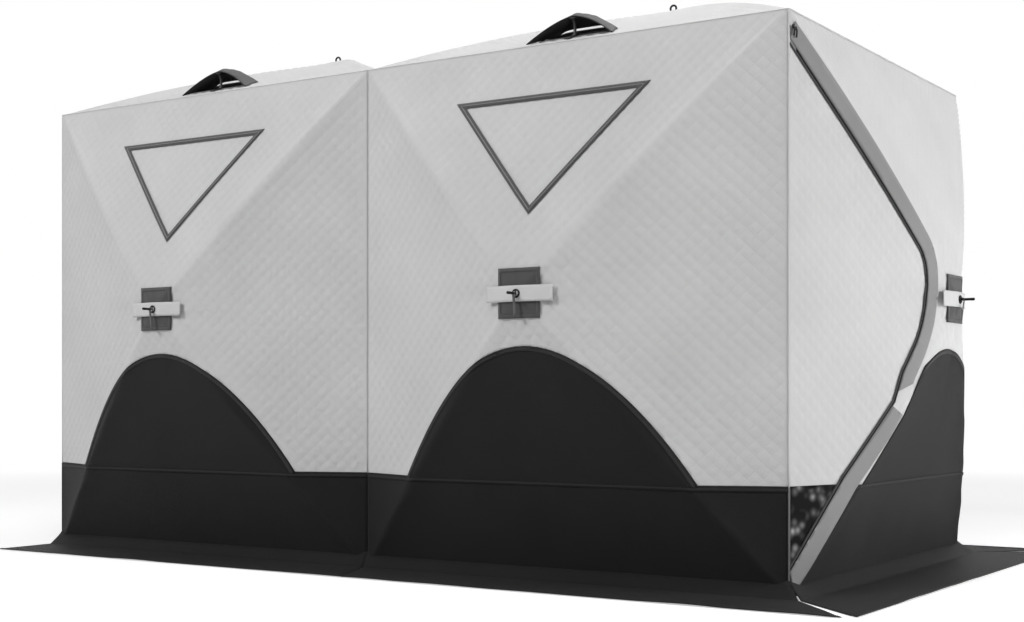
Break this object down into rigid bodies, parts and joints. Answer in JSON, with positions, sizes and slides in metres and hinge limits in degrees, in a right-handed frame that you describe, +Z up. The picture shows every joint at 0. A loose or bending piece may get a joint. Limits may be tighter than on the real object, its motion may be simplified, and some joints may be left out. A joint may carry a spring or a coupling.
{
  "type": "portable two-bay hub ice fishing shelter",
  "caption": "Quilted pop-up ice fishing shelter of two square bays: panels pulled outward by hubs, triangular windows, roof vents, ground skirt and a zipped end door.",
  "frame": {"origin": "on the ground under the middle of the shelter", "axes": "+X right along the long walls towards the door end, +Y from the front wall to the back wall, +Z up"},
  "size_m": [4.08, 2.38, 2.1768],
  "materials": {
    "quilted_fabric": "diamond-quilted coated polyester, pale grey",
    "black_fabric": "coated woven polyester, matt black",
    "mottled_film": "dark coated fabric with soft pale mottling",
    "trim_fabric": "hemmed dark grey woven polyester",
    "tab_fabric": "smooth pale grey coated fabric",
    "band_fabric": "smooth mid-grey woven tape",
    "webbing": "ribbed black webbing",
    "hood_fabric": "dark grey fabric over a stiffener",
    "vent_mesh": "fine black mesh",
    "pole_fibreglass": "satin fibreglass rod",
    "coated_metal": "black coated wire and rod",
    "black_plastic": "moulded black nylon"
  },
  "bodies": {
    "shelter": {"front_left_wall": "quilted_fabric", "front_right_wall": "quilted_fabric", "back_left_wall": "quilted_fabric", "back_right_wall": "quilted_fabric", "left_end_wall": "quilted_fabric", "right_end_wall": "quilted_fabric", "front_left_base": "black_fabric", "front_right_base": "black_fabric", "back_left_base": "black_fabric", "back_right_base": "black_fabric", "left_end_base": "black_fabric", "right_end_base": "black_fabric", "front_left_skirt": "black_fabric", "front_right_skirt": "black_fabric", "back_left_skirt": "black_fabric", "back_right_skirt": "black_fabric", "left_end_skirt": "black_fabric", "right_end_skirt": "black_fabric", "left_roof": "quilted_fabric", "right_roof": "quilted_fabric", "front_window_covers": "quilted_fabric", "back_window_covers": "quilted_fabric", "front_window_trims": "trim_fabric", "back_window_trims": "trim_fabric", "vent_hoods": "hood_fabric", "vent_struts": "black_plastic", "vent_meshes": "vent_mesh", "front_poles": "pole_fibreglass", "back_poles": "pole_fibreglass", "end_poles": "pole_fibreglass", "roof_poles": "pole_fibreglass", "wall_hubs": "black_plastic", "roof_hubs": "black_plastic", "top_sockets": "black_plastic", "bottom_sockets": "black_plastic", "hub_patches": "trim_fabric", "hub_tabs": "tab_fabric", "hub_pulls": "coated_metal", "pull_straps": "webbing", "roof_rings": "coated_metal", "zip_band_upper": "band_fabric", "zip_band_lower": "band_fabric", "zip_pulls": "coated_metal"},
    "door": {"door_panel": "quilted_fabric", "door_lower_panel": "mottled_film", "door_zip_tape": "webbing"}
  },
  "joints": [
    {"name": "door_hinge", "type": "hinge", "parent": "shelter", "child": "door", "pos_m": [1.7, -0.85, 0.946], "axis": [0, 0, -1], "range_deg": [0, 115]}
  ]
}
